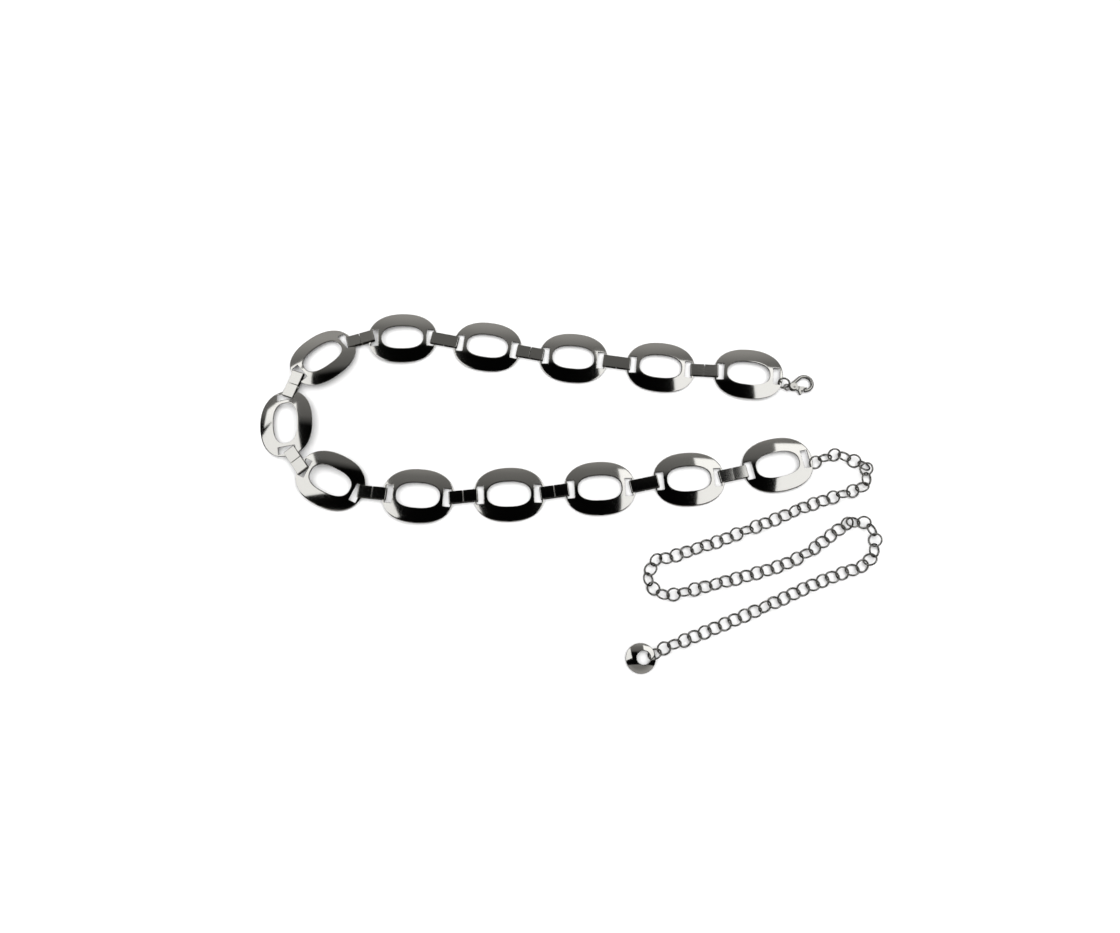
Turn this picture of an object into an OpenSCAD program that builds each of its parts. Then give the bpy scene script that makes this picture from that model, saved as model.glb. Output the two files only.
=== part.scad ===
// Waist chain, laid open on a table.
// Thirteen domed oval plates, each pierced by an oval window and by a slot at
// both tips, are joined by strips folded into flat closed loops. A ring and a
// sprung clasp hang from the first plate. A long extender chain with a pierced
// disc hangs from the last one. Millimetres, Z up, the table at z = 0.

/* [Plates] */
// length of one plate, tip to tip
plate_l = 40; // [39:0.5:41]
// width of one plate
plate_w = 31.4; // [30:0.2:32.6]
// thickness of the pressed sheet
plate_t = 0.7; // [0.6:0.05:0.75]
// how square the plate's outline is, 2 being an ellipse
plate_squareness = 2.3; // [2.1:0.05:2.5]
// metal left between the window and a slot
window_land = 2; // [1.8:0.1:2.6]
// metal left between the window and the plate's long side
window_side = 8.4; // [8:0.1:9]
// how square the window is
window_squareness = 2.5; // [2.2:0.05:2.8]
// slope of the dome at the middle of a plate's long side, degrees
side_slope = 14; // [12:0.5:15]

/* [Slots and strips] */
// metal left between a slot and the tip
bar_w = 1.6; // [1.4:0.05:1.7]
// size of a slot along the plate
slot_w = 4.1; // [4:0.05:4.3]
// size of a slot across the plate
slot_l = 10.4; // [10.2:0.1:11]
// width of a folded strip
strip_w = 7; // [6.4:0.1:7]
// thickness of the strip's sheet
strip_t = 0.4; // [0.3:0.05:0.45]
// distance between the middles of the strip's two turned ends
strip_run = 15.9; // [15.5:0.1:16.1]
// clear height inside the folded strip
strip_room = 1.8; // [1.7:0.05:2]
// outside radius of the folds
fold_r = 0.6; // [0.5:0.05:0.7]
// opening left where the strip's two ends meet
seam_gap = 0.3; // [0.2:0.05:0.5]
// gap between a strip's end and the bar it pulls on
pull_gap = 0.2; // [0.16:0.01:0.22]

/* [Clasp] */
// middle radius of the ring between plate and clasp
clasp_ring_r = 3.1; // [3:0.05:3.2]
// wire of that ring
clasp_ring_wire = 0.8; // [0.7:0.05:0.85]
// middle radius of the clasp's eye
eye_r = 1.75; // [1.7:0.05:1.9]
// wire of the eye
eye_wire = 0.8; // [0.7:0.05:0.8]
// middle radius of the hook
hook_r = 4.4; // [4.3:0.05:4.6]
// thickness of the hook
hook_wire = 1.9; // [1.7:0.05:2]
// height of the block that holds the lever
block_h = 3; // [2.8:0.1:3.2]
// radius of the block
block_r = 2.25; // [2.15:0.05:2.3]
// thickness of the lever
lever_t = 1.6; // [1.4:0.05:1.7]
// thickness of the lever's tongue, inside the block
tongue_t = 1.1; // [1:0.05:1.2]
// radius of the lever's pin
pin_r = 0.4; // [0.35:0.01:0.42]
// gap between pin and hole, and on either side of the tongue
clasp_gap = 0.1; // [0.08:0.01:0.12]

/* [Extender chain] */
// middle radius of a link
link_r = 3.5; // [3.45:0.01:3.55]
// wire of a link
link_wire = 0.7; // [0.6:0.05:0.75]
// distance from one link to the next, along the route
link_pitch = 5.93; // [5.9:0.01:5.94]
// links in the chain
links = 80; // [60:1:80]
// tilt of a lying link, degrees
link_tilt = 23; // [22.5:0.5:24]
// more tilt for every degree the chain turns at a link
bend_tilt = 0.45; // [0.4:0.01:0.5]
// tilt of the few links that stand higher
stand_tilt = 45.5; // [44:0.5:46]
// height of the middle of a link beside a standing one
step_height = 2.34; // [2.3:0.01:2.36]

/* [End disc] */
// diameter of the disc
disc_d = 16.1; // [15.6:0.1:16.6]
// diameter of its hole
disc_hole = 7.6; // [7.2:0.1:8]
// distance from the middle of the disc to the middle of the hole
disc_offset = 1.6; // [1.4:0.1:1.8]
// thickness of the disc
disc_t = 0.8; // [0.7:0.05:0.9]
// height of the disc's dome
disc_rise = 2; // [1.8:0.1:2.2]
// middle radius of the ring that holds the disc
disc_ring_r = 3.5; // [3.45:0.05:3.55]

/* [Hidden] */
$fn = 48;

steel = [0.72, 0.72, 0.7];
dark_steel = [0.55, 0.55, 0.54];

// Where the middle of the first plate lies on the table.
first_spot = [108.25, 66.45];

// How each plate lies: heading, tilt, nod, height of the middle of its rim.
// Looking along the heading, tilt lifts the left side and nod drops the front.
lay_plate = [
  [173.7, 1, 1.6, 1.15],
  [174.2, 0.5, 0, 0.55],
  [174.5, 0, 0, 0.55],
  [171.5, 0.5, 0, 0.55],
  [181.6, 0.2, -2.6, 1.41],
  [220.5, 6.3, -2.7, 2.34],
  [277.1, 8.8, -0.4, 2.42],
  [334.4, 5.4, 3.6, 2.42],
  [356.4, 0, 2, 1.23],
  [1.6, 1, 0, 0.6],
  [2.5, 0, 0, 0.55],
  [4.1, 1, 0, 0.6],
  [11.7, 1, -1.6, 1.15]
];

// How each strip lies: heading, tilt, nod, height of its middle, then how far
// its two ends sit left of the middle of their slots, then 1 for a seam on top.
lay_strip = [
  [177, 0, 0, 1.3, 0, 0, 1],
  [171.6, 0, 0, 1.3, 0, 0, 0],
  [169, 0, 0, 1.3, 0, 0, 1],
  [168.6, 0, 0, 1.3, 0, 0, 0],
  [196.3, 6.8, 2.3, 2.49, -1.6, 1.5, 1],
  [249.6, 8.5, 3.8, 3.5, -0.6, 1.4, 1],
  [305.7, 10.7, -2.5, 3.68, 1.3, -1.9, 1],
  [353.8, 4.1, -1.6, 2.15, 1.4, -0.2, 1],
  [5.6, 0, 0, 1.3, 0, 0, 1],
  [8.4, 0, 0, 1.3, 0, 0, 1],
  [12.2, 0, 0, 1.3, 0, 0, 0],
  [12.5, 0, 0, 1.3, 0, 0, 1]
];

// Points the extender chain runs through, seen from its first link.
route = [
  [0, 0], [11.5, 4.5], [20, 2], [29.5, -3.5], [28.5, -3.5], [26.5, -13.5],
  [16, -18], [7, -21], [-5, -25], [-24.5, -33], [-44, -40.5], [-58, -46],
  [-84, -54.5], [-92.5, -56.5], [-96.5, -65.5], [-95.5, -70.5], [-87, -75.5],
  [-70, -72], [-50.5, -67], [-24.5, -59.5], [-8.5, -52], [5.5, -42],
  [15.5, -35], [15.5, -35], [25.5, -36], [29, -46.5], [23, -58],
  [6.5, -64.5], [-10, -71], [-27.5, -79], [-52.5, -89.5], [-75, -98.5],
  [-89.5, -104], [-94.5, -107]
];
// The links that stand higher than the rest, counted from zero.
standing = [1, 10, 15, 20, 25, 35, 38, 47, 69, 78];

// Plates and strips as a walk along the belt

function dir(a) = [cos(a), sin(a)];
function left_of(a) = [-sin(a), cos(a)];

// from a plate's tip to the middle of the strip's end that pulls on its bar
function hook_in(turn) =
  bar_w + pull_gap + strip_t / 2 + strip_w / 2 * abs(sin(turn));

// from a plate's middle to where strip k hooks into it, ahead (1) or behind (-1)
function plate_reach(i, k, way) =
  way * (plate_l / 2 - hook_in(lay_strip[k][0] - lay_plate[i][0]))
  * cos(lay_plate[i][2]) * dir(lay_plate[i][0])
  + lay_strip[k][way == 1 ? 4 : 5] * left_of(lay_plate[i][0]);

function strip_reach(k) =
  strip_run / 2 * cos(lay_strip[k][2]) * dir(lay_strip[k][0]);

function plate_spot(i) =
  i == 0
  ? first_spot
  : strip_spot(i - 1) + strip_reach(i - 1) - plate_reach(i, i - 1, -1);

function strip_spot(k) = plate_spot(k) + plate_reach(k, k, 1) + strip_reach(k);

module lie(spot, lay) {
  translate([spot[0], spot[1], lay[3]])
    rotate([lay[1], lay[2], lay[0]])
      children();
}

// A plate: a domed oval sheet with a window and two slots

outline_points = 72;
window_points = 56;
cut_h = 12;
window_l = plate_l - 2 * (bar_w + slot_w + window_land);
window_w = plate_w - 2 * window_side;

function oval(l, w, squareness, points) =
  [
    for (i = [0:points - 1])
      let (a = 360 * i / points)
        [
          l / 2 * sign(cos(a)) * pow(abs(cos(a)), 2 / squareness),
          w / 2 * sign(sin(a)) * pow(abs(sin(a)), 2 / squareness)
        ]
  ];

// The dome is a barrel: round across the plate, and flatter along it, so that
// tips and sides meet the same plane.
across_r = plate_w / 2 / sin(side_slope);
along_r = across_r * plate_l * plate_l / plate_w / plate_w;
crest = across_r * (1 - cos(side_slope));
barrel_span = 2 * asin((plate_l / 2 + 1) / along_r) + 2;
barrel_depth = 7;

module barrel(grow) {
  translate([0, 0, crest - along_r])
    rotate([90, 0, 0])
      rotate([0, 0, 90 - barrel_span / 2])
        rotate_extrude(angle = barrel_span, $fn = 360)
          intersection() {
            translate([along_r - across_r, 0])
              circle(r = across_r + grow, $fn = 360);
            translate([along_r - barrel_depth, -plate_w])
              square([barrel_depth + 3, 2 * plate_w]);
          }
}

module domed_sheet() {
  difference() {
    intersection() {
      linear_extrude(height = cut_h)
        polygon(oval(plate_l, plate_w, plate_squareness, outline_points));
      barrel(plate_t);
    }
    barrel(0);
  }
}

module window_cut() {
  translate([0, 0, -1])
    linear_extrude(height = cut_h)
      polygon(oval(window_l, window_w, window_squareness, window_points));
}

module slot_cuts() {
  for (side = [-1, 1])
    translate([side * (plate_l / 2 - bar_w - slot_w / 2), 0, 0])
      cube([slot_w, slot_l, cut_h], center = true);
}

module plate(i) {
  color(steel)
    lie(plate_spot(i), lay_plate[i])
      difference() {
        domed_sheet();
        window_cut();
        slot_cuts();
      }
}

// A strip link: a flat strip folded round two bars, its ends meeting in a seam

half_run = strip_run / 2 + strip_t / 2;
half_room = strip_room / 2 + strip_t;

module strip_fold(x, z, from) {
  translate([x, 0, z])
    rotate([90, 0, 0])
      translate([0, 0, -strip_w / 2])
        rotate([0, 0, from])
          rotate_extrude(angle = 90)
            translate([fold_r - strip_t, 0])
              square([strip_t, strip_w]);
}

module strip_link(k) {
  flat = half_run - fold_r;
  upright = half_room - fold_r;
  turned = lay_strip[k][6] == 1 ? 0 : 180;
  color(dark_steel)
    lie(strip_spot(k), lay_strip[k])
      rotate([turned, 0, 0]) {
        translate([-flat, -strip_w / 2, -half_room])
          cube([2 * flat, strip_w, strip_t]);
        for (side = [0, 1])
          translate([side == 0 ? -flat : seam_gap / 2, -strip_w / 2, half_room - strip_t])
            cube([flat - seam_gap / 2, strip_w, strip_t]);
        for (side = [-1, 1])
          translate([side * (half_run - strip_t / 2) - strip_t / 2, -strip_w / 2, -upright])
            cube([strip_t, strip_w, 2 * upright]);
        strip_fold(flat, upright, 0);
        strip_fold(-flat, upright, 90);
        strip_fold(-flat, -upright, 180);
        strip_fold(flat, -upright, 270);
      }
}

// The ring through the first plate, and the clasp that hangs from it

module round_ring(r, wire) {
  rotate_extrude()
    translate([r, 0])
      circle(d = wire);
}

start_heading = lay_plate[0][0];
clasp_ring_tilt = 54;
// how far the ring's middle lies outside the tip, and towards the near side
clasp_ring_out = 0.6;
clasp_ring_near = 4;
clasp_ring_turn = -15;
clasp_ring_spot =
  plate_spot(0) - (plate_l / 2 + clasp_ring_out) * dir(start_heading)
  + clasp_ring_near * left_of(start_heading);

module clasp_ring() {
  color(dark_steel)
    lie(
      clasp_ring_spot,
      [
        start_heading - 180 + clasp_ring_turn,
        clasp_ring_tilt,
        0,
        clasp_ring_r * sin(clasp_ring_tilt) + clasp_ring_wire / 2
      ]
    )
      round_ring(clasp_ring_r, clasp_ring_wire);
}

// The clasp is drawn from the middle of its eye, with the hook along x.
clasp_heading = 12.5;
// from the ring's middle to the eye's, outwards and towards the near side
eye_out = 2.2;
eye_near = 1.8;
eye_spot =
  clasp_ring_spot - eye_out * dir(start_heading) + eye_near * left_of(start_heading);
clasp_lay = [clasp_heading, 0, 0, block_h / 2];
hook_x = 10.6;
hook_from = -110;
hook_to = 118;
arm_l = 6.5;
arm_lap = 0.3;
block_x = 3.7;
block_y = -0.5;
pin_x = 3.8;
pin_y = -1.2;
tongue_r = 1.1;
slot_h = tongue_t + 2 * clasp_gap;
lever_clear_r = 2.9;

module clasp_body() {
  color(steel)
    lie(eye_spot, clasp_lay)
      difference() {
        union() {
          round_ring(eye_r, eye_wire);
          translate([block_x, block_y, -block_h / 2])
            cylinder(r = block_r, h = block_h);
          translate([hook_x, 0, 0])
            rotate([0, 0, hook_from])
              rotate_extrude(angle = hook_to - hook_from)
                translate([hook_r, 0])
                  circle(d = hook_wire);
          translate([hook_x, 0, 0])
            rotate([0, 0, hook_to])
              translate([hook_r, 0, 0])
                translate([0, -arm_lap, 0])
                  rotate([-90, 0, 0])
                    cylinder(d = hook_wire + 0.1, h = arm_l + arm_lap);
        }
        translate([pin_x - tongue_r - 2 * clasp_gap, -6, -slot_h / 2])
          cube([4.5, 6 + pin_y + tongue_r + 2 * clasp_gap, slot_h]);
        translate([pin_x, pin_y, -block_h])
          cylinder(r = pin_r + clasp_gap / 2, h = 2 * block_h);
      }
}

// the lever seen from above, from the pin to the end that shuts the hook
lever_outline = [
  [3.6, -2.3], [5.5, -3.2], [5.8, -6], [6.8, -6.2], [7.2, -3.9], [8.3, -4.3],
  [8.8, -3.3], [9.6, -3.1], [10.9, -3.25], [11.2, -2.7], [4.1, -0.17]
];

module clasp_lever() {
  color(dark_steel)
    lie(eye_spot, clasp_lay)
      difference() {
        union() {
          translate([pin_x, pin_y, -tongue_t / 2])
            cylinder(r = tongue_r, h = tongue_t);
          translate([0, 0, -tongue_t / 2])
            linear_extrude(height = tongue_t)
              polygon(lever_outline);
          difference() {
            translate([0, 0, -lever_t / 2])
              linear_extrude(height = lever_t)
                polygon(lever_outline);
            translate([pin_x, pin_y, -block_h])
              cylinder(r = lever_clear_r, h = 2 * block_h);
          }
        }
        translate([pin_x, pin_y, -block_h])
          cylinder(r = pin_r + clasp_gap / 2, h = 2 * block_h);
      }
}

module clasp_pin() {
  color(steel)
    lie(eye_spot, clasp_lay)
      translate([pin_x, pin_y, -block_h / 2])
        cylinder(r = pin_r, h = block_h);
}

// The extender chain: round links along a smooth curve through the route

last_plate = len(lay_plate) - 1;
end_heading = lay_plate[last_plate][0];
chain_out = 1.3;
chain_near = 3;
chain_start =
  plate_spot(last_plate) + (plate_l / 2 + chain_out) * dir(end_heading)
  - chain_near * left_of(end_heading);

function curve(a, b, c, d, t) =
  (2 * b + (c - a) * t + (2 * a - 5 * b + 4 * c - d) * t * t
  + (3 * b - a - 3 * c + d) * t * t * t) / 2;

steps = 12;
n_route = len(route);
guide = concat(
  [2 * route[0] - route[1]],
  route,
  [2 * route[n_route - 1] - route[n_route - 2]]
);
path = concat(
  [
    for (i = [1:n_route - 1], s = [0:steps - 1])
      curve(guide[i - 1], guide[i], guide[i + 1], guide[i + 2], s / steps)
  ],
  [route[n_route - 1]]
);
n_path = len(path);
// distance along the path at every one of its points
run = [
  for (i = 0, s = 0; i < n_path; s = s + (i + 1 < n_path ? norm(path[i + 1] - path[i]) : 0), i = i + 1) s
];

function point_at(s) =
  let (
    ahead = [for (i = [1:n_path - 1]) if (run[i] > s) i],
    i = len(ahead) > 0 ? ahead[0] : n_path - 1,
    part = (s - run[i - 1]) / (run[i] - run[i - 1])
  )
  s < 0 ? path[0] + s / run[1] * (path[1] - path[0])
        : path[i - 1] + part * (path[i] - path[i - 1]);

// the middles of all links, with one more before and three after
link_spots = [for (i = [-1:links + 2]) chain_start + point_at(i * link_pitch)];

function link_spot(i) = link_spots[i + 1];
function heading_of(v) = atan2(v[1], v[0]);
function wrapped(a) = a - 360 * round(a / 360);
function stands(i) = len(search(i, standing)) > 0;
function link_heading(i) = heading_of(link_spot(i + 1) - link_spot(i - 1));
function link_turn(i) =
  abs(wrapped(heading_of(link_spot(i + 1) - link_spot(i)) - heading_of(link_spot(i) - link_spot(i - 1))));
// the first link stands steeper, to pass round the bar of the plate's slot
first_tilt = 32;
// a nodding link stays this much clear of the table
link_lift = 0.03;
function tilt_size(i) =
  i == 0 ? first_tilt : stands(i) ? stand_tilt : min(50, link_tilt + bend_tilt * link_turn(i));
function lying_height(i) = link_r * sin(tilt_size(i)) + link_wire / 2 + link_lift;
function beside_standing(i) = i > 0 && !stands(i) && (stands(i - 1) || stands(i + 1));
function link_height(i) =
  beside_standing(i) ? max(lying_height(i), step_height + link_lift) : lying_height(i);
function link_nod(i) =
  -atan2(link_height(min(i + 1, links)) - link_height(max(i - 1, 0)), 2 * link_pitch);

module chain_link(i) {
  lie(
    link_spot(i),
    [link_heading(i), (i % 2 == 0 ? 1 : -1) * tilt_size(i), link_nod(i), link_height(i)]
  )
    round_ring(link_r, link_wire);
}

half_links = ceil(links / 2);

module chain_upper() {
  color(dark_steel)
    for (i = [0:half_links - 1])
      chain_link(i);
}

module chain_lower() {
  color(dark_steel)
    for (i = [half_links:links - 1])
      chain_link(i);
}

// The disc at the chain's end, held by a ring round the narrow side of its hole

disc_ring_tilt = 42;
disc_ring_heading = link_heading(links);
// the disc has swung round on its ring
disc_swing = -20;
disc_heading = disc_ring_heading + disc_swing;
disc_tilt = -4;
disc_nod = 2;
disc_lift = 0.75;
disc_ring_in = 7.6;
disc_side = 0.5;
disc_spot =
  link_spot(links) + disc_ring_in * dir(disc_heading) + disc_side * left_of(disc_heading);
disc_dome_r = (disc_d * disc_d / 4 + disc_rise * disc_rise) / (2 * disc_rise);

module disc_ring() {
  color(dark_steel)
    lie(
      link_spot(links),
      [
        disc_ring_heading,
        disc_ring_tilt,
        0,
        disc_ring_r * sin(disc_ring_tilt) + link_wire / 2 + link_lift
      ]
    )
      round_ring(disc_ring_r, link_wire);
}

module end_disc() {
  color(steel)
    lie(disc_spot, [disc_heading, disc_tilt, disc_nod, disc_lift])
      difference() {
        rotate_extrude()
          intersection() {
            translate([0, disc_rise - disc_dome_r])
              difference() {
                circle(r = disc_dome_r + disc_t);
                circle(r = disc_dome_r);
              }
            translate([0, -1])
              square([disc_d / 2, disc_rise + 4]);
          }
        translate([-disc_offset, 0, -1])
          cylinder(d = disc_hole, h = cut_h);
      }
}

plate(0);  // plate_01
plate(1);  // plate_02
plate(2);  // plate_03
plate(3);  // plate_04
plate(4);  // plate_05
plate(5);  // plate_06
plate(6);  // plate_07
plate(7);  // plate_08
plate(8);  // plate_09
plate(9);  // plate_10
plate(10);  // plate_11
plate(11);  // plate_12
plate(12);  // plate_13
strip_link(0);  // strip_link_01
strip_link(1);  // strip_link_02
strip_link(2);  // strip_link_03
strip_link(3);  // strip_link_04
strip_link(4);  // strip_link_05
strip_link(5);  // strip_link_06
strip_link(6);  // strip_link_07
strip_link(7);  // strip_link_08
strip_link(8);  // strip_link_09
strip_link(9);  // strip_link_10
strip_link(10);  // strip_link_11
strip_link(11);  // strip_link_12
clasp_ring();
clasp_body();
clasp_lever();
clasp_pin();
chain_upper();
chain_lower();
disc_ring();
end_disc();
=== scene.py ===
import math

import bpy
import numpy as np
from mathutils import Matrix, Vector


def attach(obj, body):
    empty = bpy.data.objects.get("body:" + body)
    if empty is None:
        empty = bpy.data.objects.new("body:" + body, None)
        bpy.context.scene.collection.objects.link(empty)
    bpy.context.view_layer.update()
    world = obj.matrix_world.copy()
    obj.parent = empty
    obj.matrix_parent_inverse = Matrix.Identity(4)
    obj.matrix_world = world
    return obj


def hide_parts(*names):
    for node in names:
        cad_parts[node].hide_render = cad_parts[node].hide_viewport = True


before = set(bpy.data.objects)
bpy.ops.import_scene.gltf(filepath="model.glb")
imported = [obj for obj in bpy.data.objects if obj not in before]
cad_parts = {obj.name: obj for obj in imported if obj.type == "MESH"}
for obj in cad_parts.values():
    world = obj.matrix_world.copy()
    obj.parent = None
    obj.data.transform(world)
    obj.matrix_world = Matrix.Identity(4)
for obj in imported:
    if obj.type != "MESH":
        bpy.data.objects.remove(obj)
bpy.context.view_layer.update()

# Plates
# Thirteen oval plates pressed from stainless sheet over a shallow barrel-shaped
# die, pierced by a window and by a slot at both tips, then tumbled and
# mirror-polished on every side.

PLATE_COUNT = 13
PLATE_LENGTH = 0.040
PLATE_WIDTH = 0.0314
PLATE_SHEET = 0.0007
PLATE_EDGE = 0.00012
PLATE_SQUARENESS = 2.3
PLATE_SIDE_SLOPE = math.radians(14)
WINDOW_LENGTH = 0.0246
WINDOW_WIDTH = 0.0146
WINDOW_SQUARENESS = 2.5
SLOT_FROM_TIP = 0.0016
SLOT_WIDTH = 0.0041
SLOT_LENGTH = 0.0104
PLATE_STEPS = 192
PLATE_LOOPS = 14
STEEL_GREY = "#c9c8c4"
STEEL_ROUGHNESS = 0.08
PLATE_WAVE_MM = 9.0
PLATE_WAVE_DEPTH = 0.000012


def linear(hex_colour):
    """A colour given as sRGB hex, in linear light and opaque."""
    channels = [int(hex_colour[i:i + 2], 16) / 255 for i in (1, 3, 5)]
    return [c / 12.92 if c <= 0.04045 else ((c + 0.055) / 1.055) ** 2.4 for c in channels] + [1.0]


def add_node(owner, kind, settings=None, inputs=None):
    """A shader node of a material or the world, an input given as a value or as a link."""
    node = owner.node_tree.nodes.new(kind)
    for name, value in (settings or {}).items():
        setattr(node, name, value)
    for name, value in (inputs or {}).items():
        if isinstance(value, bpy.types.NodeSocket):
            owner.node_tree.links.new(value, node.inputs[name])
        else:
            node.inputs[name].default_value = value
    return node


# the waves that a press or a tumbler leaves are long and nearly without ripples
WAVE_DETAIL = 1.0
WAVE_RIPPLE = 0.4


# Stainless steel, polished to a mirror: the eye sees the room in it, drawn a
# little wavy by the press, and no grain of its own.
def mirror_steel(name, grey, roughness, wave_mm, wave_depth):
    material = bpy.data.materials.new(name)
    material.use_nodes = True
    material.node_tree.nodes.clear()
    coordinates = add_node(material, "ShaderNodeTexCoord")
    waves = add_node(
        material, "ShaderNodeTexNoise", {},
        {"Vector": coordinates.outputs["Object"], "Scale": 1000 / wave_mm,
         "Detail": WAVE_DETAIL, "Roughness": WAVE_RIPPLE},
    )
    bump = add_node(
        material, "ShaderNodeBump", {},
        {"Strength": 1.0, "Distance": wave_depth, "Height": waves.outputs["Fac"]},
    )
    shader = add_node(
        material, "ShaderNodeBsdfPrincipled", {},
        {"Base Color": linear(grey), "Metallic": 1.0, "Roughness": roughness,
         "Normal": bump.outputs["Normal"]},
    )
    add_node(material, "ShaderNodeOutputMaterial", {}, {"Surface": shader.outputs["BSDF"]})
    return material


def deselect():
    bpy.ops.object.select_all(action="DESELECT")


def pick(obj):
    """Select one object alone and make it the active one."""
    deselect()
    obj.select_set(True)
    bpy.context.view_layer.objects.active = obj


def edit(obj):
    """Open an object in edit mode with all of it selected."""
    pick(obj)
    bpy.ops.object.mode_set(mode="EDIT")
    bpy.ops.mesh.select_mode(type="VERT")
    bpy.ops.mesh.select_all(action="SELECT")


def close_edit():
    bpy.ops.object.mode_set(mode="OBJECT")


def score(axis, distance):
    """In edit mode, cut the faces along a plane across an axis, 0 for x and 1 for y."""
    way = Vector()
    way[axis] = 1
    bpy.ops.mesh.select_all(action="SELECT")
    bpy.ops.mesh.bisect(plane_co=way * distance, plane_no=way)


def punch(obj, is_waste):
    """In edit mode, take out the faces that a function picks."""
    bpy.ops.mesh.select_mode(type="FACE")
    bpy.ops.mesh.select_all(action="DESELECT")
    close_edit()
    for face in obj.data.polygons:
        face.select = is_waste(face)
    bpy.ops.object.mode_set(mode="EDIT")
    bpy.ops.mesh.delete(type="FACE")


def apply_modifiers(obj):
    pick(obj)
    for modifier in list(obj.modifiers):
        bpy.ops.object.modifier_apply(modifier=modifier.name)


# only the cut edges of a sheet turn by more than this, and a tumbler rounds them
CUT_EDGE_ANGLE = math.radians(40)
CUT_EDGE_SEGMENTS = 2
# the whole weight goes to the larger faces, so that the rounding leaves them flat
LARGE_FACE_WEIGHT = 100


def thicken(surface, sheet, edge):
    """Give a surface its sheet, below the faces that it has, and round its cut edges."""
    pick(surface)
    bpy.ops.object.shade_smooth()
    wall = surface.modifiers.new("sheet", "SOLIDIFY")
    wall.thickness = sheet
    wall.offset = -1
    wall.use_even_offset = True
    rounding = surface.modifiers.new("edge", "BEVEL")
    rounding.width = edge
    rounding.segments = CUT_EDGE_SEGMENTS
    rounding.limit_method = "ANGLE"
    rounding.angle_limit = CUT_EDGE_ANGLE
    even = surface.modifiers.new("even", "WEIGHTED_NORMAL")
    even.weight = LARGE_FACE_WEIGHT
    apply_modifiers(surface)


def own_axes(obj):
    """The middle of a solid's surface, its axes from longest to thinnest, and its points in them."""
    mesh = obj.data
    mesh.calc_loop_triangles()
    points = np.empty(len(mesh.vertices) * 3)
    mesh.vertices.foreach_get("co", points)
    points = points.reshape(-1, 3)
    corners = np.empty(len(mesh.loop_triangles) * 3, dtype=np.int32)
    mesh.loop_triangles.foreach_get("vertices", corners)
    triangles = points[corners].reshape(-1, 3, 3)
    sides = triangles[:, 1:] - triangles[:, :1]
    area = np.linalg.norm(np.cross(sides[:, 0], sides[:, 1]), axis=1) / 2
    middle = (area[:, None] * triangles.mean(axis=1)).sum(axis=0) / area.sum()
    triangles = triangles - middle
    total = triangles.sum(axis=1)
    spread = np.einsum("n,nij,nik->jk", area, triangles, triangles)
    spread += np.einsum("n,nj,nk->jk", area, total, total)
    ways = np.linalg.eigh(spread)[1]
    thin = ways[:, 0] if ways[2, 0] > 0 else -ways[:, 0]
    long = ways[:, 2] if ways[0, 2] > 0 else -ways[:, 2]
    axes = np.column_stack([long, np.cross(thin, long), thin])
    return middle, axes, (points - middle) @ axes


def lay(middle, axes):
    """The matrix that lays a pattern piece at a place along three axes."""
    turn = Matrix([list(row) for row in axes]).to_4x4()
    return Matrix.Translation(Vector([float(value) for value in middle])) @ turn


def copy_to(pattern, matrix, name):
    """A copy of a pattern piece with its own mesh, its place in the mesh."""
    mesh = pattern.data.copy()
    mesh.transform(matrix)
    mesh.name = name
    piece = bpy.data.objects.new(name, mesh)
    bpy.context.collection.objects.link(piece)
    return piece


def belongs(piece, material, body, node):
    """Give a piece its material and the body it rides on, and hide the solid it stands for."""
    piece.data.materials.clear()
    piece.data.materials.append(material)
    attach(piece, body)
    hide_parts(node)


def remove(obj):
    bpy.data.objects.remove(obj, do_unlink=True)


# the hole's share of a blank's radius, before both are drawn to their outlines
BLANK_HOLE = 0.5


def pierced_blank(steps, loops, rim, hole):
    """A flat ring of faces that look up, between two outlines that are functions of the angle."""
    deselect()
    bpy.ops.mesh.primitive_circle_add(vertices=steps, radius=1.0)
    blank = bpy.context.object
    edit(blank)
    for loop in range(loops):
        radius = 1 - (1 - BLANK_HOLE) * loop / loops
        step = (radius - (1 - BLANK_HOLE) / loops) / radius
        bpy.ops.mesh.extrude_edges_move()
        bpy.ops.transform.resize(value=(step, step, 1))
    bpy.ops.mesh.select_all(action="SELECT")
    bpy.ops.mesh.normals_make_consistent(inside=False)
    close_edit()
    if sum(face.normal.z for face in blank.data.polygons) < 0:
        blank.data.flip_normals()
    for vertex in blank.data.vertices:
        angle = math.atan2(vertex.co.y, vertex.co.x)
        inward = (1 - vertex.co.xy.length) / (1 - BLANK_HOLE)
        vertex.co.xy = Vector(rim(angle)).lerp(Vector(hole(angle)), inward)
    return blank


def press(blank, height):
    """Raise a flat blank to the upper side of its die."""
    for vertex in blank.data.vertices:
        vertex.co.z = height(vertex.co.x, vertex.co.y)


def oval_point(length, width, squareness, angle):
    """A point of an oval's outline, squarer than an ellipse where squareness is over 2."""
    c, s = math.cos(angle), math.sin(angle)
    x = length / 2 * math.copysign(abs(c) ** (2 / squareness), c)
    y = width / 2 * math.copysign(abs(s) ** (2 / squareness), s)
    return x, y


def plate_rim(angle):
    return oval_point(PLATE_LENGTH, PLATE_WIDTH, PLATE_SQUARENESS, angle)


def plate_window(angle):
    return oval_point(WINDOW_LENGTH, WINDOW_WIDTH, WINDOW_SQUARENESS, angle)


# the die is round across the plate and flatter along it
DIE_ACROSS = PLATE_WIDTH / 2 / math.sin(PLATE_SIDE_SLOPE)
DIE_ALONG = DIE_ACROSS * (PLATE_LENGTH / PLATE_WIDTH) ** 2
DIE_CREST = DIE_ACROSS * (1 - math.cos(PLATE_SIDE_SLOPE))


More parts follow.
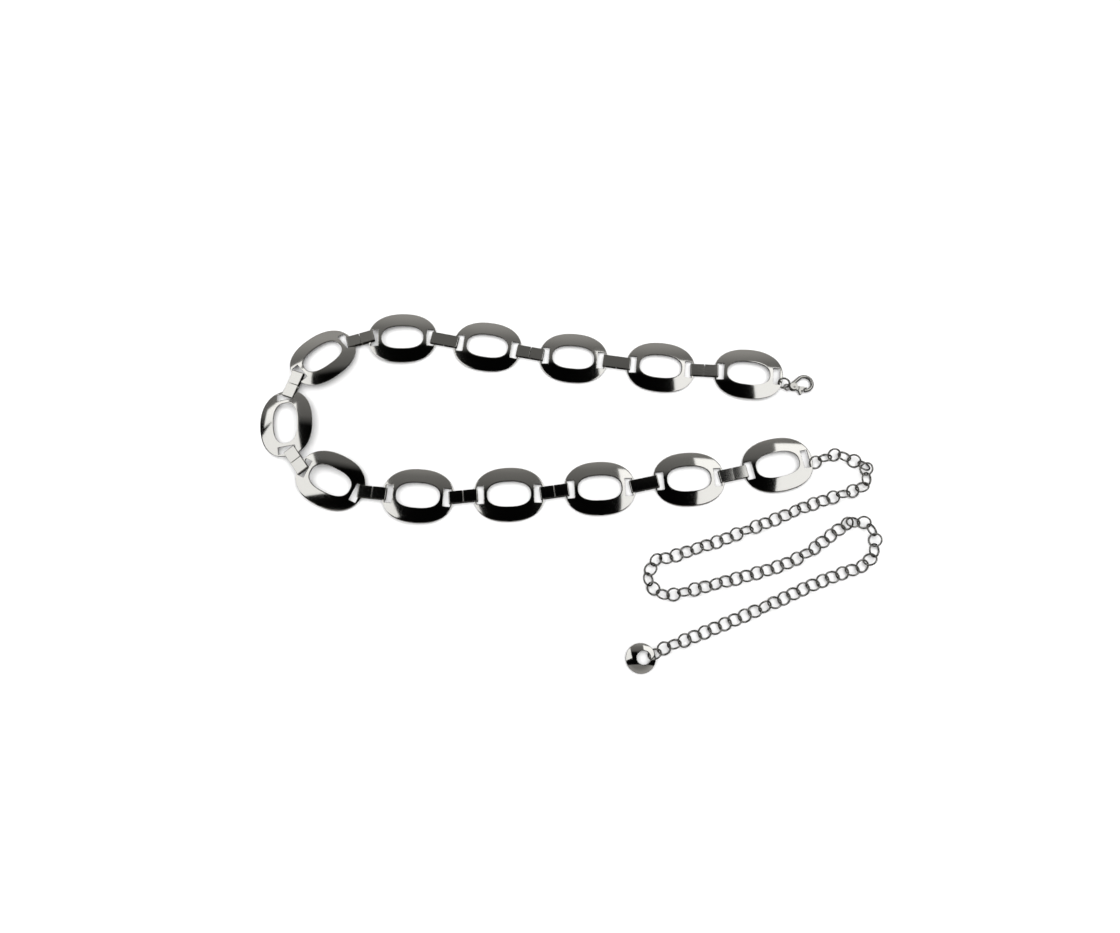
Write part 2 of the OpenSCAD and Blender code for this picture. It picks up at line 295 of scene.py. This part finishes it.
def plate_top(x, y):
    """Height of a plate's upper side over a point."""
    across = DIE_ALONG - DIE_ACROSS + math.sqrt((DIE_ACROSS + PLATE_SHEET) ** 2 - y * y)
    return DIE_CREST - DIE_ALONG + math.sqrt(across ** 2 - x * x)


def cut_plate():
    """One plate, the middle of its rim at the origin."""
    slot_outside = PLATE_LENGTH / 2 - SLOT_FROM_TIP
    slot_inside = slot_outside - SLOT_WIDTH

    def in_slot(face):
        x, y = abs(face.center.x), abs(face.center.y)
        return slot_inside < x < slot_outside and y < SLOT_LENGTH / 2

    plate = pierced_blank(PLATE_STEPS, PLATE_LOOPS, plate_rim, plate_window)
    edit(plate)
    for x in (-slot_outside, -slot_inside, slot_inside, slot_outside):
        score(0, x)
    for y in (-SLOT_LENGTH / 2, SLOT_LENGTH / 2):
        score(1, y)
    punch(plate, in_slot)
    close_edit()
    press(plate, plate_top)
    thicken(plate, PLATE_SHEET, PLATE_EDGE)
    return plate


plate_steel = mirror_steel(
    "polished plate steel", STEEL_GREY, STEEL_ROUGHNESS, PLATE_WAVE_MM, PLATE_WAVE_DEPTH,
)
plate_pattern = cut_plate()
for number in range(1, PLATE_COUNT + 1):
    node = f"plate_{number:02d}"
    middle, axes, local = own_axes(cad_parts[node])
    rim = middle + axes @ np.array([0, 0, local[:, 2].min()])
    plate = copy_to(plate_pattern, lay(rim, axes), f"pressed_plate_{number:02d}")
    belongs(plate, plate_steel, "chain", node)
remove(plate_pattern)

# Strip links
# Twelve short strips of the same steel, each folded round the end bars of two
# plates until its ends meet in a narrow seam, rolled flat and left unsoldered.

STRIP_COUNT = 12
STRIP_SHEET = 0.0004
STRIP_EDGE = 0.00015
STRIP_FOLD = 0.0006
STRIP_FOLD_SEGMENTS = 6
STRIP_SEAM = 0.0003
STRIP_GREY = "#c4c3bf"
STRIP_WAVE_MM = 6.0
STRIP_WAVE_DEPTH = 0.00001


def fold_strip(length, width, height):
    """A flat closed loop with its seam on top, its middle at the origin."""
    def on_open_side(face):
        return round(abs(face.normal.y)) == 1

    def in_seam(face):
        return abs(face.center.x) < STRIP_SEAM / 2 and face.center.z > 0

    deselect()
    bpy.ops.mesh.primitive_cube_add(size=1)
    strip = bpy.context.object
    edit(strip)
    bpy.ops.transform.resize(value=(length, width, height))
    punch(strip, on_open_side)
    bpy.ops.mesh.select_all(action="SELECT")
    bpy.ops.mesh.bevel(offset=STRIP_FOLD, segments=STRIP_FOLD_SEGMENTS, affect="EDGES")
    for x in (-STRIP_SEAM / 2, STRIP_SEAM / 2):
        score(0, x)
    punch(strip, in_seam)
    close_edit()
    thicken(strip, STRIP_SHEET, STRIP_EDGE)
    return strip


# The plates' stainless sheet, folded and then pressed flat: as bright, and a
# shade wavier to the eye.
strip_steel = mirror_steel(
    "polished strip steel", STRIP_GREY, STEEL_ROUGHNESS, STRIP_WAVE_MM, STRIP_WAVE_DEPTH,
)
first_strip = own_axes(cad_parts["strip_link_01"])[2]
strip_pattern = fold_strip(*np.ptp(first_strip, axis=0).tolist())
for number in range(1, STRIP_COUNT + 1):
    node = f"strip_link_{number:02d}"
    middle, axes, local = own_axes(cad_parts[node])
    half_way = (local[:, 2].min() + local[:, 2].max()) / 2
    core = middle + axes @ np.array([0, 0, half_way])
    # the seam's own cut faces draw the middle of the surface towards it
    over = Matrix.Rotation(math.pi, 4, "X") if half_way > 0 else Matrix.Identity(4)
    strip = copy_to(strip_pattern, lay(core, axes) @ over, f"folded_strip_{number:02d}")
    belongs(strip, strip_steel, "chain", node)
remove(strip_pattern)

# Wire rings and the extender chain
# Round links bent from steel wire, brazed shut and barrel-polished: a ring on
# the clasp, eighty links hooked through one another, and a ring on the disc.

WIRE_GREY = "#a3a29f"
WIRE_ROUGHNESS = 0.12
WIRE_WAVE_MM = 1.6
WIRE_WAVE_DEPTH = 0.000006
WIRE_SMOOTHED_DEGREES = 35
RING_STEPS = 40
WIRE_STEPS = 12
# the polished wire is drawn a little thicker than the solid that keeps clear
WIRE_SWELL = 1.4
MERGE_DISTANCE = 1e-7

# Drawn steel wire, polished in a barrel: darker and softer than the sheet, with
# the small dents that the links knock into one another.
wire_steel = mirror_steel(
    "barrel-polished wire", WIRE_GREY, WIRE_ROUGHNESS, WIRE_WAVE_MM, WIRE_WAVE_DEPTH,
)


def solid_copy(node, name):
    """A CAD node's solids as an object to work on, their loose triangles merged."""
    copy = bpy.data.objects.new(name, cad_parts[node].data.copy())
    bpy.context.collection.objects.link(copy)
    edit(copy)
    bpy.ops.mesh.remove_doubles(threshold=MERGE_DISTANCE)
    close_edit()
    return copy


def ring_lays(node):
    """Where each ring of a node lies, its axes and its points in them."""
    edit(solid_copy(node, node + "_copy"))
    bpy.ops.mesh.separate(type="LOOSE")
    close_edit()
    solids = list(bpy.context.selected_objects)
    lays = [own_axes(solid) for solid in solids]
    for solid in solids:
        remove(solid)
    return lays


def bend_ring(local):
    """One ring of round wire at the origin, as wide as a solid ring."""
    across, wire = float(np.ptp(local[:, 0])), float(np.ptp(local[:, 2]))
    deselect()
    bpy.ops.mesh.primitive_torus_add(
        major_radius=(across - wire) / 2, minor_radius=wire / 2 * WIRE_SWELL,
        major_segments=RING_STEPS, minor_segments=WIRE_STEPS,
    )
    return bpy.context.object


def smooth(obj, degrees):
    pick(obj)
    bpy.ops.object.shade_smooth_by_angle(angle=math.radians(degrees))


def string_rings(node, name):
    """Wire rings in place of a node's rings, joined as one piece."""
    lays = ring_lays(node)
    ring_pattern = bend_ring(lays[0][2])
    rings = [copy_to(ring_pattern, lay(middle, axes), name) for middle, axes, local in lays]
    remove(ring_pattern)
    piece = rings[0]
    if len(rings) > 1:
        pick(piece)
        for ring in rings:
            ring.select_set(True)
        bpy.ops.object.join()
    smooth(piece, WIRE_SMOOTHED_DEGREES)
    belongs(piece, wire_steel, "chain", node)


string_rings("clasp_ring", "wire_ring_clasp")
string_rings("chain_upper", "wire_links_upper")
string_rings("chain_lower", "wire_links_lower")
string_rings("disc_ring", "wire_ring_disc")

# Clasp
# A lobster claw cast in steel: a body with an eye, a hook and a hollow that
# holds the spring, a lever with a thumb tab, and the rivet that it turns on.

CLASP_GREY = "#adaca8"
CLASP_ROUGHNESS = 0.09
CLASP_WAVE_MM = 2.5
CLASP_WAVE_DEPTH = 0.00001
CAST_GRAIN = 0.00009
CAST_SOFTENING = 0.5
CAST_SOFTENING_PASSES = 5
CAST_SMOOTHED_DEGREES = 60

# Cast steel, tumbled and polished: bright on its rounded sides, with the soft
# dents that a casting keeps.
clasp_steel = mirror_steel(
    "polished casting", CLASP_GREY, CLASP_ROUGHNESS, CLASP_WAVE_MM, CLASP_WAVE_DEPTH,
)


def cast(node, name, body):
    """A CAD solid with the soft edges of a tumbled casting."""
    piece = solid_copy(node, name)
    grain = piece.modifiers.new("grain", "REMESH")
    grain.mode = "VOXEL"
    grain.voxel_size = CAST_GRAIN
    soft = piece.modifiers.new("soft", "SMOOTH")
    soft.factor = CAST_SOFTENING
    soft.iterations = CAST_SOFTENING_PASSES
    apply_modifiers(piece)
    smooth(piece, CAST_SMOOTHED_DEGREES)
    belongs(piece, clasp_steel, body, node)


cast("clasp_body", "cast_claw", "chain")
cast("clasp_lever", "cast_lever", "lever")
cast("clasp_pin", "rivet", "chain")

# End disc
# A round domed disc stamped from the plates' steel, with one hole off centre,
# so that the chain's last ring takes its narrow side.

DISC_RADIUS = 0.00805
DISC_SHEET = 0.0008
DISC_EDGE = 0.00015
DISC_RISE = 0.002
DISC_DIE = (DISC_RADIUS ** 2 + DISC_RISE ** 2) / (2 * DISC_RISE)
DISC_HOLE_RADIUS = 0.0038
DISC_HOLE_OFF = 0.0016
DISC_STEPS = 96
DISC_LOOPS = 12


def disc_rim(angle):
    return DISC_RADIUS * math.cos(angle), DISC_RADIUS * math.sin(angle)


def disc_hole(angle):
    return DISC_HOLE_RADIUS * math.cos(angle) - DISC_HOLE_OFF, DISC_HOLE_RADIUS * math.sin(angle)


def disc_top(x, y):
    """Height of the disc's upper side over a point."""
    return DISC_RISE - DISC_DIE + math.sqrt((DISC_DIE + DISC_SHEET) ** 2 - x * x - y * y)


def stamp_disc():
    """The disc with the middle of its rim at the origin, its hole towards -x."""
    disc = pierced_blank(DISC_STEPS, DISC_LOOPS, disc_rim, disc_hole)
    press(disc, disc_top)
    thicken(disc, DISC_SHEET, DISC_EDGE)
    return disc


# the hole shifts the middle of the solid towards the disc's whole side
middle, axes, local = own_axes(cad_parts["end_disc"])
rim_y = (local[:, 1].min() + local[:, 1].max()) / 2
rim = middle + axes @ np.array([0, rim_y, local[:, 2].min()])
whole_side = axes[:, 1] * (-1 if rim_y > 0 else 1)
disc_axes = np.column_stack([whole_side, np.cross(axes[:, 2], whole_side), axes[:, 2]])
disc_pattern = stamp_disc()
disc = copy_to(disc_pattern, lay(rim, disc_axes), "stamped_disc")
belongs(disc, plate_steel, "chain", "end_disc")
remove(disc_pattern)

# Camera, floor and light
# The chain lies on a white table, seen from 72 degrees up, under three soft
# panels that hang to its left and right. What else its metal mirrors is a dark
# ceiling, a grey far wall and a grey near wall.

CAMERA_SPOT = Vector((-0.0021, -0.14585, 0.48726))
CAMERA_AIM = Vector((-0.0021, 0.01013, 0.0))
LENS_MM = 28.93
SENSOR_MM = 36.0
TABLE_SIDE = 4.0
TABLE_WHITE = "#f4f4f4"
TABLE_ROUGHNESS = 0.9
PANEL_HEIGHT = 0.75
TABLE_LIGHT_HEIGHT = 1.6
TABLE_LIGHT_SIDE = 3.0
TABLE_LIGHT_WATTS = 50

camera_data = bpy.data.cameras.new("camera")
camera_data.lens = LENS_MM
camera_data.sensor_width = SENSOR_MM
camera = bpy.data.objects.new("camera", camera_data)
bpy.context.collection.objects.link(camera)
camera.location = CAMERA_SPOT
camera.rotation_euler = (CAMERA_AIM - CAMERA_SPOT).to_track_quat("-Z", "Y").to_euler()
bpy.context.scene.camera = camera
bpy.context.scene.view_settings.view_transform = "Standard"

# Uncoated paper: white and flat to the eye, with no shine at any angle.
paper = bpy.data.materials.new("white paper")
paper.use_nodes = True
paper_shader = paper.node_tree.nodes["Principled BSDF"]
paper_shader.inputs["Base Color"].default_value = linear(TABLE_WHITE)
paper_shader.inputs["Roughness"].default_value = TABLE_ROUGHNESS
paper_shader.inputs["Specular IOR Level"].default_value = 0.0

deselect()
bpy.ops.mesh.primitive_plane_add(size=TABLE_SIDE)
floor = bpy.context.object
floor.name = "table"
floor.data.materials.append(paper)
# polished metal mirrors a grey table top, though the picture shows it white
floor.visible_glossy = False


def soft_panel(name, spot, width, depth, watts, turn=0):
    """A rectangle of light that faces straight down, turned by some degrees."""
    light = bpy.data.lights.new(name, "AREA")
    light.shape = "RECTANGLE"
    light.size = width
    light.size_y = depth
    light.energy = watts
    panel = bpy.data.objects.new(name, light)
    bpy.context.collection.objects.link(panel)
    panel.location = spot
    panel.rotation_euler.z = math.radians(turn)
    return panel


soft_panel("right panel", (0.63, 0.205, PANEL_HEIGHT), width=0.74, depth=0.79, watts=2.6)
soft_panel("left panel", (-0.90, 0.09, PANEL_HEIGHT), width=0.99, depth=0.72, watts=3.0, turn=16)
soft_panel("far left panel", (-1.05, 0.58, PANEL_HEIGHT), width=0.70, depth=0.30, watts=0.9)
# the light that whitens the table stands where no polished face mirrors it
table_light = soft_panel(
    "table light", (0, 0, TABLE_LIGHT_HEIGHT), TABLE_LIGHT_SIDE, TABLE_LIGHT_SIDE, TABLE_LIGHT_WATTS,
)
table_light.visible_glossy = False

# Each step is how far a direction leans that way, as its share of 1, and how
# bright the wall is there. The far wall rises from the dark ceiling, and the
# near wall closes what leans to the near side by more than NEAR_WALL_LEAN.
FAR_WALL_STEPS = ((0.30, 0.001), (0.40, 0.15), (0.60, 0.22), (0.80, 0.44))
NEAR_WALL_STEPS = ((0.0, 0.12), (0.25, 0.25), (0.55, 0.50), (0.80, 0.25))
NEAR_WALL_LEAN = 0.4
WALL_TINT = (1.0, 0.98, 0.95)
TABLE_IN_METAL = 0.05
# what stands behind the table in a picture taken from the side
BACKDROP = 0.85

world = bpy.data.worlds.new("studio")
bpy.context.scene.world = world
world.use_nodes = True
world.node_tree.nodes.clear()
direction = add_node(world, "ShaderNodeTexCoord")
lean = add_node(world, "ShaderNodeSeparateXYZ", {}, {"Vector": direction.outputs["Generated"]})


def background(colour):
    inputs = {"Color": colour, "Strength": 1.0}
    return add_node(world, "ShaderNodeBackground", {}, inputs).outputs["Background"]


def plain(level):
    return background((level, level, level, 1))


def wall(along, steps):
    """A wall whose grey changes along one direction, from step to step."""
    ramp = add_node(world, "ShaderNodeValToRGB", {}, {"Fac": along})
    while len(ramp.color_ramp.elements) < len(steps):
        ramp.color_ramp.elements.new(0.5)
    for element, (position, level) in zip(ramp.color_ramp.elements, steps):
        element.position = position
        element.color = [level * tint for tint in WALL_TINT] + [1]
    return background(ramp.outputs["Color"])


def compare(operation, value, limit):
    inputs = {0: value, 1: limit}
    return add_node(world, "ShaderNodeMath", {"operation": operation}, inputs).outputs["Value"]


def choose(switch, off, on):
    return add_node(world, "ShaderNodeMixShader", {}, {0: switch, 1: off, 2: on}).outputs["Shader"]


far_wall = wall(lean.outputs["Y"], FAR_WALL_STEPS)
near_wall = wall(lean.outputs["Z"], NEAR_WALL_STEPS)
walls = choose(compare("LESS_THAN", lean.outputs["Y"], -NEAR_WALL_LEAN), far_wall, near_wall)
mirrored = choose(compare("GREATER_THAN", lean.outputs["Z"], 0.0), plain(TABLE_IN_METAL), walls)
ray = add_node(world, "ShaderNodeLightPath")
around = choose(ray.outputs["Is Camera Ray"], mirrored, plain(BACKDROP))
add_node(world, "ShaderNodeOutputWorld", {}, {"Surface": around})
